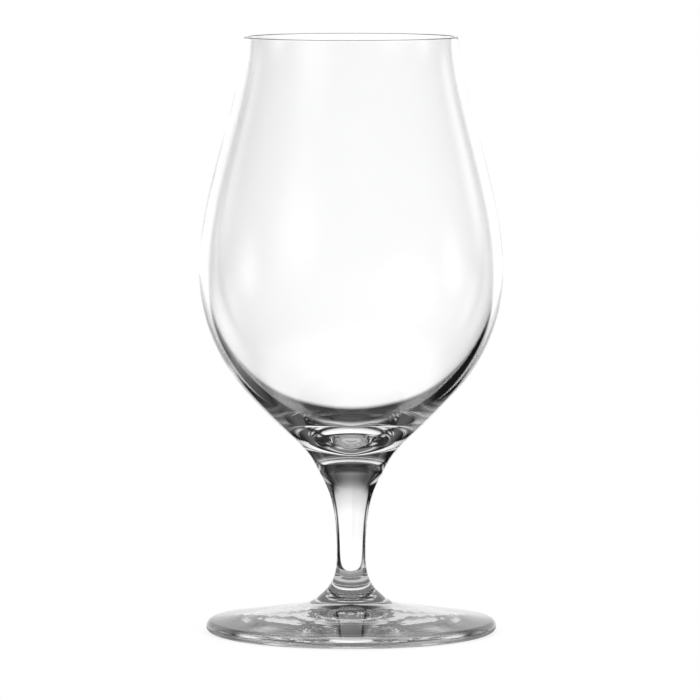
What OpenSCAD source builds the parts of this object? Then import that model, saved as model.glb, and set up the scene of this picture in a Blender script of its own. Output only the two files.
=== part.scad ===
// Stemmed tulip beer glass: a blown bowl, a waisted stem and a round foot, fused face to face.
// Every piece is turned about the Z axis. The origin is the middle of the foot, on the table.
// An outline is a chain of cubic curves. It passes through the radii and heights below, and a
// "reach" says how far a curve keeps its direction before it bends towards the next place.

/* [Foot] */
// Radius of the foot
foot_radius = 44.4; // [38:0.1:52]
// Thickness of the foot's rounded edge
foot_edge = 3.6; // [2.6:0.1:4.6]
// Pitch of the upper side next to the edge, in degrees
foot_pitch = 9.3; // [7:0.1:10.5]
// Height of the foot, from the table to the joint under the stem
foot_height = 12; // [11:0.1:15]
// Reach of the upper side at its pitch, from the edge inwards
foot_run = 34; // [24:0.5:34]
// Reach of the upper side at the stem's lean, from the joint outwards
foot_shoulder = 5.6; // [3:0.1:7]
// Depth of the hollow under the foot, at its middle
foot_hollow = 3; // [1:0.1:4]
// Reach of the hollow's blunt point, from its middle outwards
hollow_reach = 12; // [8:0.5:16]
// Share of the depth that is left at that reach
hollow_share = 0.5; // [0.3:0.05:1]
// Width of the flat ring that the glass stands on
rest_ring_width = 3; // [1:0.1:6]
// Reach of the hollow towards that ring
ring_reach = 14; // [8:0.5:16]

/* [Stem] */
// Length of the stem between its two joints
stem_length = 40; // [34:0.5:80]
// Radius of the stem at its waist, the slimmest place
waist_radius = 4.4; // [3:0.1:6]
// Height of the waist above the joint with the foot
waist_level = 12.4; // [10:0.1:14]
// Reach of the waist towards the foot
waist_reach_down = 6.4; // [3:0.1:8]
// Reach of the waist towards the bowl
waist_reach_up = 17; // [8:0.1:18]
// Radius of the joint between the stem and the foot
foot_joint_radius = 8.55; // [7:0.05:12]
// Lean of the outline at that joint, in degrees from upright
foot_joint_lean = 49; // [35:1:58]
// Reach of the stem's outline from that joint
foot_joint_reach = 4.2; // [2:0.1:5]
// Radius of the joint between the bowl and the stem
bowl_joint_radius = 11.4; // [9.5:0.1:14]
// Lean of the outline at that joint, in degrees from upright
bowl_joint_lean = 27; // [18:1:34]
// Reach of the stem's outline from that joint
bowl_joint_reach = 7.4; // [4:0.1:10]

/* [Bowl outside] */
// Height of the bowl, from its joint with the stem to the rim
bowl_height = 130; // [115:0.5:160]
// Outer radius of the rim
rim_radius = 32.6; // [28:0.1:40]
// Reach of the upright neck under the rim
neck_reach = 16.6; // [8:0.1:22]
// Outer radius of the belly, the widest place
belly_radius = 46.4; // [42:0.1:54]
// Height of the belly above the joint with the stem
belly_level = 59; // [54:0.1:66]
// Reach of the belly towards the rim
belly_reach_up = 24.6; // [14:0.1:30]
// Reach of the belly towards the stem
belly_reach_down = 35.2; // [28:0.1:38]
// Reach of the bowl's outline up from the joint with the stem
button_reach = 12.3; // [6:0.1:16]

/* [Bowl inside] */
// Wall thickness at the rim
rim_wall = 1.3; // [0.8:0.1:2]
// Radius of the rim's two corners
rim_corner = 0.35; // [0.2:0.05:0.35]
// Wall thickness at the belly
belly_wall = 1.8; // [1.2:0.1:2.6]
// Thickness of the solid glass between the well's bottom and the joint with the stem
well_floor = 6.2; // [4:0.1:9]
// Reach of the well's level bottom
well_reach = 7; // [4:0.1:10]
// Reach of the inner belly towards the well
well_drop = 35; // [30:0.1:37]

/* [Hidden] */
// Steps in each curve of an outline
curve_steps = 28;
// Steps round a turned piece
$fn = 180;

// Heights above the table
bowl_joint_z = foot_height + stem_length;
waist_z = foot_height + waist_level;
belly_z = bowl_joint_z + belly_level;
well_z = bowl_joint_z + well_floor;
rim_z = bowl_joint_z + bowl_height;

// The rim's corners are melted round, and so is the foot's whole edge
lip_z = rim_z - rim_corner;
edge_radius = foot_edge / 2;
edge_centre = [foot_radius - edge_radius, edge_radius];
edge_top = edge_centre + edge_radius * [sin(foot_pitch), cos(foot_pitch)];
rest_ring_inner = edge_centre[0] - rest_ring_width;

// Places where pieces meet, and the way the outline runs up through each
foot_joint = [foot_joint_radius, foot_height];
foot_joint_way = [-sin(foot_joint_lean), cos(foot_joint_lean)];
bowl_joint = [bowl_joint_radius, bowl_joint_z];
bowl_joint_way = [sin(bowl_joint_lean), cos(bowl_joint_lean)];
foot_top_way = [-cos(foot_pitch), sin(foot_pitch)];

glass_colour = [0.86, 0.9, 0.91, 0.4];

// Points of a cubic curve from a to d, which leaves a towards b and reaches d from c
function curve(a, b, c, d) = [
    for (i = [0 : curve_steps])
        let (t = i / curve_steps, u = 1 - t)
            u * u * u * a + 3 * u * u * t * b + 3 * u * t * t * c + t * t * t * d
];

// Points of an arc about a centre, between two angles
function arc(centre, radius, from, to) = [
    for (i = [0 : curve_steps])
        centre + radius * [cos(from + (to - from) * i / curve_steps), sin(from + (to - from) * i / curve_steps)]
];

// The bowl's outer side, from the joint with the stem up to the lip
function bowl_outside() = concat(
    curve(
        bowl_joint,
        bowl_joint + button_reach * bowl_joint_way,
        [belly_radius, belly_z - belly_reach_down],
        [belly_radius, belly_z]
    ),
    curve(
        [belly_radius, belly_z],
        [belly_radius, belly_z + belly_reach_up],
        [rim_radius, lip_z - neck_reach],
        [rim_radius, lip_z]
    )
);

// The bowl's inner side, from the lip down to the bottom of the well
function bowl_inside() = concat(
    curve(
        [rim_radius - rim_wall, lip_z],
        [rim_radius - rim_wall, lip_z - neck_reach],
        [belly_radius - belly_wall, belly_z + belly_reach_up],
        [belly_radius - belly_wall, belly_z]
    ),
    curve(
        [belly_radius - belly_wall, belly_z],
        [belly_radius - belly_wall, belly_z - well_drop],
        [well_reach, well_z],
        [0, well_z]
    )
);

// The stem's outer side, from the foot up to the bowl
function stem_outside() = concat(
    curve(
        foot_joint,
        foot_joint + foot_joint_reach * foot_joint_way,
        [waist_radius, waist_z - waist_reach_down],
        [waist_radius, waist_z]
    ),
    curve(
        [waist_radius, waist_z],
        [waist_radius, waist_z + waist_reach_up],
        bowl_joint - bowl_joint_reach * bowl_joint_way,
        bowl_joint
    )
);

// The foot's underside, edge and upper side, from the middle of the hollow up to the joint
function foot_outside() = concat(
    curve(
        [0, foot_hollow],
        [hollow_reach, hollow_share * foot_hollow],
        [rest_ring_inner - ring_reach, 0],
        [rest_ring_inner, 0]
    ),
    arc(edge_centre, edge_radius, -90, 90 - foot_pitch),
    curve(
        edge_top,
        edge_top + foot_run * foot_top_way,
        foot_joint - foot_shoulder * foot_joint_way,
        foot_joint
    )
);

// Turns an outline in radius and height about the Z axis
module turned(outline) {
    rotate_extrude()
        polygon(outline);
}

// Blown bowl: thin wall, cut and melted rim, and a button of solid glass under the well
module bowl() {
    color(glass_colour)
        turned(concat(
            [[0, bowl_joint_z]],
            bowl_outside(),
            arc([rim_radius - rim_corner, lip_z], rim_corner, 0, 90),
            arc([rim_radius - rim_wall + rim_corner, lip_z], rim_corner, 90, 180),
            bowl_inside()
        ));
}

// Solid stem, slimmest at its waist, with a flat fused face at each end
module stem() {
    color(glass_colour)
        turned(concat(
            [[0, foot_height]],
            stem_outside(),
            [[0, bowl_joint_z]]
        ));
}

// Round foot: raised in the middle, hollow underneath, standing on a narrow flat ring
module foot() {
    color(glass_colour)
        turned(concat(
            foot_outside(),
            [[0, foot_height]]
        ));
}

bowl();
stem();
foot();
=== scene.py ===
# %% [markdown]
# # A tulip beer glass, piece by piece
# The glass is stemware: a blown bowl, a waisted stem and a round foot, joined while they were hot.
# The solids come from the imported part. This lesson turns a finer skin for each of them, gives it
# clear glass, and sets it in a plain white studio.

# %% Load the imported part
import math

import bmesh
import bpy
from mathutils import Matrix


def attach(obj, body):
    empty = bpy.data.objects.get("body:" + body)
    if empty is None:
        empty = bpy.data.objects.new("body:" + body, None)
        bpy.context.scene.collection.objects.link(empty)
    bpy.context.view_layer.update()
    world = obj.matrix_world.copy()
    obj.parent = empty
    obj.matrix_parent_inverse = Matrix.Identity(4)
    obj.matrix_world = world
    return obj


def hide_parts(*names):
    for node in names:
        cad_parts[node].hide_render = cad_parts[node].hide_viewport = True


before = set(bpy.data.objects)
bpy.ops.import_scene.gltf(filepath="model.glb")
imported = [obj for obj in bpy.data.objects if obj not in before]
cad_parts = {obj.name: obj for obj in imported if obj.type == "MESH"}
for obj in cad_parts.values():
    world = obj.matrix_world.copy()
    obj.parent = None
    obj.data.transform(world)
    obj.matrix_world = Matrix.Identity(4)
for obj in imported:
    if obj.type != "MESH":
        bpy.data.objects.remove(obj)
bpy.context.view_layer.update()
print("pieces in the part:", sorted(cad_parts))

# %% [markdown]
# ## Outlines
# A glassmaker thinks in profiles, and so does this lesson: every piece is an outline of radius and
# height, turned about the upright axis. The outlines are cubic curves through the places where the
# real profile changes direction, so a few sizes say the whole shape. A "reach" is how far a curve
# keeps its direction before it bends towards the next place. Sizes are in millimetres here, because
# a glass is measured so, and become metres when the mesh is made.

# %% Curves and arcs for outlines
MM = 0.001


def curve(start, leave, arrive, end, steps):
    """Points of a cubic curve that leaves start towards leave and reaches end from arrive."""
    points = []
    for i in range(steps + 1):
        t = i / steps
        weights = ((1 - t) ** 3, 3 * t * (1 - t) ** 2, 3 * t * t * (1 - t), t ** 3)
        places = (start, leave, arrive, end)
        points.append(tuple(sum(w * p[k] for w, p in zip(weights, places)) for k in (0, 1)))
    return points


def arc(centre, radius, begin, end, steps):
    """Points of an arc about a centre, between two angles in degrees."""
    angles = [math.radians(begin + (end - begin) * i / steps) for i in range(steps + 1)]
    return [(centre[0] + radius * math.cos(a), centre[1] + radius * math.sin(a)) for a in angles]


def chain(*parts):
    """One outline from parts that each start where the one before ends."""
    points = list(parts[0])
    for part in parts[1:]:
        points += part[1:]
    return points


def along(place, lean, reach):
    """The place that lies a reach away from another, in a direction that leans out from upright."""
    return (place[0] + reach * math.sin(lean), place[1] + reach * math.cos(lean))


print("outlines are measured in units of", MM, "m")

# %% [markdown]
# ## Turning an outline
# A Screw modifier can turn an outline, and so can bmesh's spin. Spin is chosen because its faces are
# there at once, so the flat joint faces can be told from the polished skin. An end of the outline
# that lies off the axis is closed by a flat face: that is where two pieces are fused. The joint's
# edge is marked sharp, so that the skin keeps its own slope right up to the joint.

# %% Turn an outline into a closed piece
SEGMENTS = 240
SAME_PLACE = 1e-8
# A piece has two finishes: the skin's, number 0, and the joint's
JOINT = 1


def turned(name, outline):
    """Spins an outline in millimetres about Z and closes its open ends with joint faces."""
    shape = bmesh.new()
    line = [shape.verts.new((radius * MM, 0, height * MM)) for radius, height in outline]
    edges = [shape.edges.new(pair) for pair in zip(line, line[1:])]
    bmesh.ops.spin(shape, geom=line + edges, axis=(0, 0, 1), cent=(0, 0, 0),
                   angle=math.tau, steps=SEGMENTS, use_merge=True)
    bmesh.ops.remove_doubles(shape, verts=shape.verts, dist=SAME_PLACE)
    rims = [edge for edge in shape.edges if edge.is_boundary]
    for edge in rims:
        edge.smooth = False
    for face in shape.faces:
        face.smooth = True
    for face in bmesh.ops.holes_fill(shape, edges=rims, sides=0)["faces"]:
        face.material_index = JOINT
    bmesh.ops.recalc_face_normals(shape, faces=shape.faces)
    mesh = bpy.data.meshes.new(name)
    shape.to_mesh(mesh)
    shape.free()
    piece = bpy.data.objects.new(name, mesh)
    bpy.context.scene.collection.objects.link(piece)
    print(name, "has", len(mesh.polygons), "faces")
    return piece


# %% [markdown]
# ## The bowl
# The bowl was blown: a wall under 2 mm thick, widest at the belly, drawn in to the rim, where the
# cut edge was melted round. Below, the wall thickens into a button of solid glass with the well of
# the bowl above it. That button is the strong lens at the bottom of the bowl, so its outer and inner
# curves decide where the dark crescent falls.

# %% Places and curves of the bowl
BOWL_JOINT = (11.4, 52.0)
BOWL_JOINT_LEAN = math.radians(27)
BUTTON_REACH = 12.3
BELLY_RADIUS, BELLY_Z = 46.4, 111.0
BELLY_REACH_DOWN, BELLY_REACH_UP = 35.2, 24.6
RIM_RADIUS, RIM_Z = 32.6, 182.0
NECK_REACH = 16.6
RIM_WALL, BELLY_WALL = 1.3, 1.8
WELL_Z = 58.2
WELL_REACH, WELL_DROP = 7.0, 35.0
RIM_CORNER = 0.35
LIP_Z = RIM_Z - RIM_CORNER
FINE, COARSE, LIP_STEPS = 112, 64, 10


def bowl_outside():
    """From the joint up the outer side and over the lip's outer corner."""
    belly = (BELLY_RADIUS, BELLY_Z)
    rim = (RIM_RADIUS, LIP_Z)
    button = curve(BOWL_JOINT, along(BOWL_JOINT, BOWL_JOINT_LEAN, BUTTON_REACH),
                   (BELLY_RADIUS, BELLY_Z - BELLY_REACH_DOWN), belly, FINE)
    neck = curve(belly, (BELLY_RADIUS, BELLY_Z + BELLY_REACH_UP),
                 (RIM_RADIUS, LIP_Z - NECK_REACH), rim, COARSE)
    lip = arc((RIM_RADIUS - RIM_CORNER, LIP_Z), RIM_CORNER, 0, 90, LIP_STEPS)
    return chain(button, neck, lip)


def bowl_inside():
    """From the lip's inner corner down the inner side to the middle of the well."""
    belly = (BELLY_RADIUS - BELLY_WALL, BELLY_Z)
    rim = (RIM_RADIUS - RIM_WALL, LIP_Z)
    lip = arc((rim[0] + RIM_CORNER, LIP_Z), RIM_CORNER, 90, 180, LIP_STEPS)
    neck = curve(rim, (rim[0], LIP_Z - NECK_REACH),
                 (belly[0], BELLY_Z + BELLY_REACH_UP), belly, COARSE)
    well = curve(belly, (belly[0], BELLY_Z - WELL_DROP),
                 (WELL_REACH, WELL_Z), (0.0, WELL_Z), FINE)
    return chain(lip, neck, well)


bowl = turned("bowl_glass", bowl_outside() + bowl_inside())

# %% [markdown]
# ## The stem
# The stem is solid. It narrows from the foot to a waist and opens out to the button, with no bead or
# knop, so one curve below the waist and one above it are enough.

# %% Places and curves of the stem
FOOT_JOINT = (8.55, 12.0)
FOOT_JOINT_LEAN = math.radians(-49)
FOOT_JOINT_REACH, BOWL_JOINT_REACH = 4.2, 7.4
WAIST = (4.4, 24.4)
WAIST_REACH_DOWN, WAIST_REACH_UP = 6.4, 17.0


def stem_outline():
    """From the joint with the foot, in to the waist and out to the joint with the bowl."""
    lower = curve(FOOT_JOINT, along(FOOT_JOINT, FOOT_JOINT_LEAN, FOOT_JOINT_REACH),
                  (WAIST[0], WAIST[1] - WAIST_REACH_DOWN), WAIST, COARSE)
    upper = curve(WAIST, (WAIST[0], WAIST[1] + WAIST_REACH_UP),
                  along(BOWL_JOINT, BOWL_JOINT_LEAN, -BOWL_JOINT_REACH), BOWL_JOINT, FINE)
    return chain(lower, upper)


stem = turned("stem_glass", stem_outline())

# %% [markdown]
# ## The foot
# The foot is a shallow cone that rises into the stem. It stands on a narrow ring, and its underside
# is hollow, with a blunt point in the middle, so that a foot that isn't quite flat doesn't rock. The
# edge is fully round. Shaping the hot glass on a turning table leaves fine rings underneath, a few
# thousandths of a millimetre high. They are far too low to feel, but they break up what is seen
# through the foot, so they are shaped here and not painted on: a bump in the material would bend
# the light in the same way but would be lost in an export.

# %% Places and curves of the foot
FOOT_RADIUS = 44.4
EDGE_RADIUS = 1.8
EDGE_STEPS = 32
FOOT_PITCH = 9.3
FOOT_RUN, FOOT_SHOULDER = 34.0, 5.6
RING_INNER = 39.6
HOLLOW, HOLLOW_REACH, HOLLOW_SHARE, RING_REACH = 3.0, 12.0, 0.5, 14.0
FINE_RING, FINE_RING_HEIGHT, FINE_RING_END = 3.0, 0.006, 4.0


def fine_rings(outline):
    """Adds low waves to the hollow's outline, which die out towards the standing ring."""
    waved = []
    for radius, height in outline:
        share = min((RING_INNER - radius) / FINE_RING_END, 1.0)
        wave = math.sin(math.tau * radius / FINE_RING)
        waved.append((radius, height + FINE_RING_HEIGHT * share * wave))
    return waved


def foot_outline():
    """From the middle of the hollow, out over the ring and round the edge, up to the joint."""
    hollow = fine_rings(curve((0.0, HOLLOW), (HOLLOW_REACH, HOLLOW_SHARE * HOLLOW),
                              (RING_INNER - RING_REACH, 0.0), (RING_INNER, 0.0), 2 * FINE))
    edge_centre = (FOOT_RADIUS - EDGE_RADIUS, EDGE_RADIUS)
    ring = [(RING_INNER, 0.0), (edge_centre[0], 0.0)]
    edge = arc(edge_centre, EDGE_RADIUS, -90, 90 - FOOT_PITCH, EDGE_STEPS)
    inward = math.radians(FOOT_PITCH - 90)
    top = curve(edge[-1], along(edge[-1], inward, FOOT_RUN),
                along(FOOT_JOINT, FOOT_JOINT_LEAN, -FOOT_SHOULDER), FOOT_JOINT, FINE)
    return chain(hollow, ring, edge, top)


foot = turned("foot_glass", foot_outline())

# %% [markdown]
# ## Node helpers
# Materials and the world are node trees. Four small helpers keep them readable: one adds a node and
# joins its inputs, one does a sum, one fades softly from one number to another, and one empties a
# tree before it is filled.

# %% Helpers for node trees


def add_node(tree, kind, inputs=(), **options):
    """Adds a node, sets its options, and sets or joins the inputs given by name or number."""
    node = tree.nodes.new(kind)
    for option, value in options.items():
        setattr(node, option, value)
    for socket, value in dict(inputs).items():
        if isinstance(value, bpy.types.NodeSocket):
            tree.links.new(value, node.inputs[socket])
        else:
            node.inputs[socket].default_value = value
    return node


def maths(tree, operation, *values):
    """The result of one sum on numbers or outputs."""
    return add_node(tree, "ShaderNodeMath", enumerate(values), operation=operation).outputs[0]


def fade(tree, value, begin, end, low=0.0, high=1.0):
    """Goes softly from low, where the value is at begin, to high, where it is at end."""
    inputs = {"Value": value, "From Min": begin, "From Max": end, "To Min": low, "To Max": high}
    node = add_node(tree, "ShaderNodeMapRange", inputs, interpolation_type="SMOOTHSTEP")
    return node.outputs["Result"]


def blank_tree(owner):
    """The emptied node tree of a material or world."""
    owner.use_nodes = True
    owner.node_tree.nodes.clear()
    return owner.node_tree


# %% [markdown]
# ## Clear glass
# The glass is colourless soda-lime glass, which bends light by an index of 1.51. It is fire-polished,
# so it is smooth everywhere except on the ring that it stands on, which wears. Blown glass is never
# quite even: a noise about as wide as a fingertip tilts the skin by a tenth of a degree or so, which
# is enough to make a straight edge seen through the glass a little unsteady. The roughness and the
# bump are procedural, so the glass needs no image and no unwrapping.

# %% The glass and the fused joint
GLASS_COLOUR = (0.988, 0.99, 0.989, 1)
GLASS_INDEX = 1.51
WAVE_SCALE, WAVE_HEIGHT = 55.0, 0.02
SCUFF_SCALE, WORN_HEIGHT, WORN_ROUGHNESS = 900.0, 0.12, 0.3


def clear_glass():
    """Colourless glass, polished but a little wavy, with a worn standing ring."""
    material = bpy.data.materials.new("clear_glass")
    tree = blank_tree(material)
    place = add_node(tree, "ShaderNodeTexCoord").outputs["Object"]
    height = add_node(tree, "ShaderNodeSeparateXYZ", {0: place}).outputs["Z"]
    scuffs = add_node(tree, "ShaderNodeTexNoise",
                      {"Vector": place, "Scale": SCUFF_SCALE, "Detail": 3.0})
    worn = fade(tree, height, WORN_HEIGHT * MM, 0.0, 0.0, WORN_ROUGHNESS)
    roughness = maths(tree, "MULTIPLY", worn, scuffs.outputs["Fac"])
    waves = add_node(tree, "ShaderNodeTexNoise",
                     {"Vector": place, "Scale": WAVE_SCALE, "Detail": 1.0})
    skin = add_node(tree, "ShaderNodeBump",
                    {"Height": waves.outputs["Fac"], "Distance": WAVE_HEIGHT * MM})
    glass = add_node(tree, "ShaderNodeBsdfPrincipled",
                     {"Base Color": GLASS_COLOUR, "Roughness": roughness, "IOR": GLASS_INDEX,
                      "Transmission Weight": 1.0, "Normal": skin.outputs[0]})
    add_node(tree, "ShaderNodeOutputMaterial", {"Surface": glass.outputs[0]})
    return material


def fused_joint():
    """Two pieces were melted into one here, so light passes the joint face unchanged."""
    material = bpy.data.materials.new("fused_joint")
    tree = blank_tree(material)
    through = add_node(tree, "ShaderNodeBsdfTransparent")
    add_node(tree, "ShaderNodeOutputMaterial", {"Surface": through.outputs[0]})
    return material


finishes = [clear_glass(), fused_joint()]
for piece, node in ((bowl, "bowl"), (stem, "stem"), (foot, "foot")):
    for finish in finishes:
        piece.data.materials.append(finish)
    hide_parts(node)
    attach(piece, "root")
    print(piece.name, "takes the place of", node)

# %% [markdown]
# ## The floor
# The photograph's ground is plain white, so the camera sees white, with a faint contact shadow that
# an Ambient Occlusion node finds. The glass sees the floor differently. Away from the foot the floor
# lets the glass's rays through, so that they meet the studio, as over a small table. Under the foot
# its light is painted, so that what shows through the foot is like the photograph: lighter at the
# front, darker at the back, with a light ring round the stem.

# %% The white floor
FLOOR_SIZE, FLOOR_DROP = 16.0, 0.02
STANDING, STANDING_FADE = 47.0, 2.0
# Radius and light of places across the light ring, from its inner side outwards
RING_LIGHT = ((5.0, 0.0), (7.0, 0.6), (12.0, 0.6), (15.0, 0.0))
RING_SPAN = 50.0
FRONT_LIGHT, BACK_LIGHT = 0.4, 0.2
FRONT_Y, BACK_Y = -8.0, 6.0
SHADOW_REACH, SHADOW_LIGHT = 20.0, 0.85


def ramp(tree, value, reach, stops):
    """Passes through stops of a value and its light, where no value is above reach."""
    node = add_node(tree, "ShaderNodeValToRGB", {0: maths(tree, "DIVIDE", value, reach)})
    elements = node.color_ramp.elements
    for element, (place, light) in zip(elements, (stops[0], stops[-1])):
        element.position = place / reach
        element.color = (light, light, light, 1)
    for place, light in stops[1:-1]:
        elements.new(place / reach).color = (light, light, light, 1)
    return node.outputs["Color"]


def contact_shadow(tree):
    """Light of the floor to the camera: white, and a little less close to the glass."""
    nearness = add_node(tree, "ShaderNodeAmbientOcclusion", {"Distance": SHADOW_REACH * MM}, samples=8)
    return fade(tree, nearness.outputs["AO"], 0.0, 1.0, SHADOW_LIGHT, 1.0)


def white_floor():
    """White to the camera, with a contact shadow; to the glass, only the floor under the foot."""
    material = bpy.data.materials.new("white_floor")
    tree = blank_tree(material)
    to_camera = add_node(tree, "ShaderNodeLightPath").outputs["Is Camera Ray"]
    place = add_node(tree, "ShaderNodeTexCoord").outputs["Object"]
    distance = add_node(tree, "ShaderNodeVectorMath", {0: place}, operation="LENGTH")
    radius = maths(tree, "DIVIDE", distance.outputs["Value"], MM)
    back = add_node(tree, "ShaderNodeSeparateXYZ", {0: place}).outputs["Y"]
    side = fade(tree, back, BACK_Y * MM, FRONT_Y * MM, BACK_LIGHT, FRONT_LIGHT)
    under_foot = maths(tree, "MAXIMUM", side, ramp(tree, radius, RING_SPAN, RING_LIGHT))
    light = add_node(tree, "ShaderNodeMix", {0: to_camera, 2: under_foot, 3: contact_shadow(tree)})
    white = add_node(tree, "ShaderNodeEmission", {"Strength": light.outputs[0]})
    through = add_node(tree, "ShaderNodeBsdfTransparent")
    under = fade(tree, radius, STANDING, STANDING + STANDING_FADE, 1.0, 0.0)
    surface = add_node(tree, "ShaderNodeMixShader",
                       {0: maths(tree, "MAXIMUM", to_camera, under),
                        1: through.outputs[0], 2: white.outputs[0]})
    add_node(tree, "ShaderNodeOutputMaterial", {"Surface": surface.outputs[0]})
    return material


def flat_floor(name, size):
    """A square floor, just below the standing ring."""
    mesh = bpy.data.meshes.new(name)
    half = size / 2
    corners = [(-half, -half, 0), (half, -half, 0), (half, half, 0), (-half, half, 0)]
    mesh.from_pydata(corners, [], [(0, 1, 2, 3)])
    floor = bpy.data.objects.new(name, mesh)
    floor.location.z = -FLOOR_DROP * MM
    bpy.context.scene.collection.objects.link(floor)
    return floor


floor = flat_floor("floor", FLOOR_SIZE)
floor.data.materials.append(white_floor())
print("the floor is", FLOOR_SIZE, "m wide")

# %% [markdown]
# ## The studio
# Clear glass has no colour of its own: all that shows is the studio, bent through it. A photographer
# lights glass from behind, with a white sheet only a little larger than the picture, in a dim room.
# Where the glass bends the view past the sheet it turns dark, and so the crescent, the stem's edges
# and the outline are drawn. Lamps would do this too, but a world that is painted by direction is
# cleaner: it has no edges to catch and no noise. The sheet ends below in a half ellipse, and it dims
# upwards. A few small white cards lift the places that would be black from the side or from behind.
# Steeply below lies the white table, so that the bowl stays clear when it is seen from above. The
# camera itself sees plain white. All these places are guesses, and all angles are in degrees.

# %% A white sheet and some cards in a dim room
ROOM_LIGHT = 0.01
SHEET_LIGHT = 1.18
SHEET_FOOT, SHEET_SIDE = 21.5, 43.0
SHEET_OUTER, SHEET_INNER = 1.06, 0.9
# Rise and share of light of places up the sheet
SHEET_FADE = ((4, 1.0), (10, 0.83), (15, 0.72), (21, 0.58), (27, 0.3), (33, 0.1), (39, 0.03))
ZENITH = 90.0
# Angles where a slight dimming begins and ends, and the light at each
LEFT_DIM = (-3.5, 0.5, 0.92, 1.0)
TOP_DIM = (-5.5, -2.0, 1.0, 0.95)
TABLE_BEGIN, TABLE_FULL, TABLE_LIGHT = -36.0, -50.0, 0.9
# Turn, rise, reach and strength of each card
CARDS = ((-60, 9, 15, 0.9), (60, 9, 15, 0.9), (-92, -4, 18, 0.9), (92, -4, 15, 0.5),
         (-45, -24, 23, 0.98), (135, -14, 32, 1.1))


def sheet(tree, turn, rise):
    """Light of the sheet behind the glass, by degrees of turn from its middle and of rise."""
    below = maths(tree, "MAXIMUM", maths(tree, "DIVIDE", rise, -SHEET_FOOT), 0.0)
    beside = maths(tree, "DIVIDE", turn, SHEET_SIDE)
    squares = maths(tree, "MULTIPLY_ADD", below, below, maths(tree, "MULTIPLY", beside, beside))
    light = fade(tree, maths(tree, "SQRT", squares), SHEET_OUTER, SHEET_INNER, 0.0, SHEET_LIGHT)
    uneven = maths(tree, "MULTIPLY", fade(tree, turn, *LEFT_DIM), fade(tree, rise, *TOP_DIM))
    dimmed = maths(tree, "MULTIPLY", uneven, ramp(tree, rise, ZENITH, SHEET_FADE))
    return maths(tree, "MULTIPLY", light, dimmed)


def card(tree, way, turn, rise, reach, strength):
    """Light of a card, brightest at its middle and gone at its reach."""
    turn, rise = math.radians(turn), math.radians(rise)
    middle = (math.sin(turn) * math.cos(rise), math.cos(turn) * math.cos(rise), math.sin(rise))
    cosine = add_node(tree, "ShaderNodeVectorMath", {0: way, 1: middle}, operation="DOT_PRODUCT")
    angle = maths(tree, "DEGREES", maths(tree, "ARCCOSINE", cosine.outputs["Value"]))
    return fade(tree, angle, reach, 0.0, 0.0, strength)


def studio():
    """The room by direction: sheet, table and cards for the glass, plain white for the camera."""
    world = bpy.data.worlds.new("studio")
    tree = blank_tree(world)
    way = add_node(tree, "ShaderNodeTexCoord").outputs["Generated"]
    axes = add_node(tree, "ShaderNodeSeparateXYZ", {0: way}).outputs
    rise = maths(tree, "DEGREES", maths(tree, "ARCSINE", axes["Z"]))
    turn = maths(tree, "DEGREES", maths(tree, "ARCTAN2", axes["X"], axes["Y"]))
    light = maths(tree, "ADD", sheet(tree, turn, rise), ROOM_LIGHT)
    table = fade(tree, rise, TABLE_BEGIN, TABLE_FULL, 0.0, TABLE_LIGHT)
    light = maths(tree, "MAXIMUM", light, table)
    for place in CARDS:
        light = maths(tree, "MAXIMUM", light, card(tree, way, *place))
    path = add_node(tree, "ShaderNodeLightPath").outputs
    in_glass = maths(tree, "MAXIMUM", path["Is Glossy Ray"], path["Is Transmission Ray"])
    seen = add_node(tree, "ShaderNodeMix", {0: in_glass, 2: 1.0, 3: light})
    background = add_node(tree, "ShaderNodeBackground",
                          {"Color": (1, 1, 1, 1), "Strength": seen.outputs[0]})
    add_node(tree, "ShaderNodeOutputWorld", {"Surface": background.outputs[0]})
    return world


scene = bpy.context.scene
scene.world = studio()
print("the studio has", len(CARDS), "cards and", len(scene.world.node_tree.nodes), "nodes")

# %% [markdown]
# ## The camera
# The photograph was taken from far off with a long lens, from a little above the rim, so the rim and
# the foot show as flat ellipses of nearly the same scale. The place and the lens were fitted to
# those. Light crosses many faces in clear glass, and a ray that gives up too soon leaves a black
# spot, so more bounces are allowed than the usual dozen.

# %% Camera and light paths
LENS = 320.4
CAMERA_PLACE = (-0.00037, -1.8956, 0.2469)
LOOK_DOWN = 4.842
BOUNCES = 32

camera = bpy.data.objects.new("camera", bpy.data.cameras.new("camera"))
camera.data.lens = LENS
camera.location = CAMERA_PLACE
camera.rotation_euler = (math.radians(90 - LOOK_DOWN), 0, 0)
scene.collection.objects.link(camera)
scene.camera = camera
scene.view_settings.view_transform = "Standard"
for kind in ("max", "transmission", "glossy", "transparent_max"):
    setattr(scene.cycles, f"{kind}_bounces", BOUNCES)
print("the camera looks down", LOOK_DOWN, "degrees through a lens of", LENS, "mm")
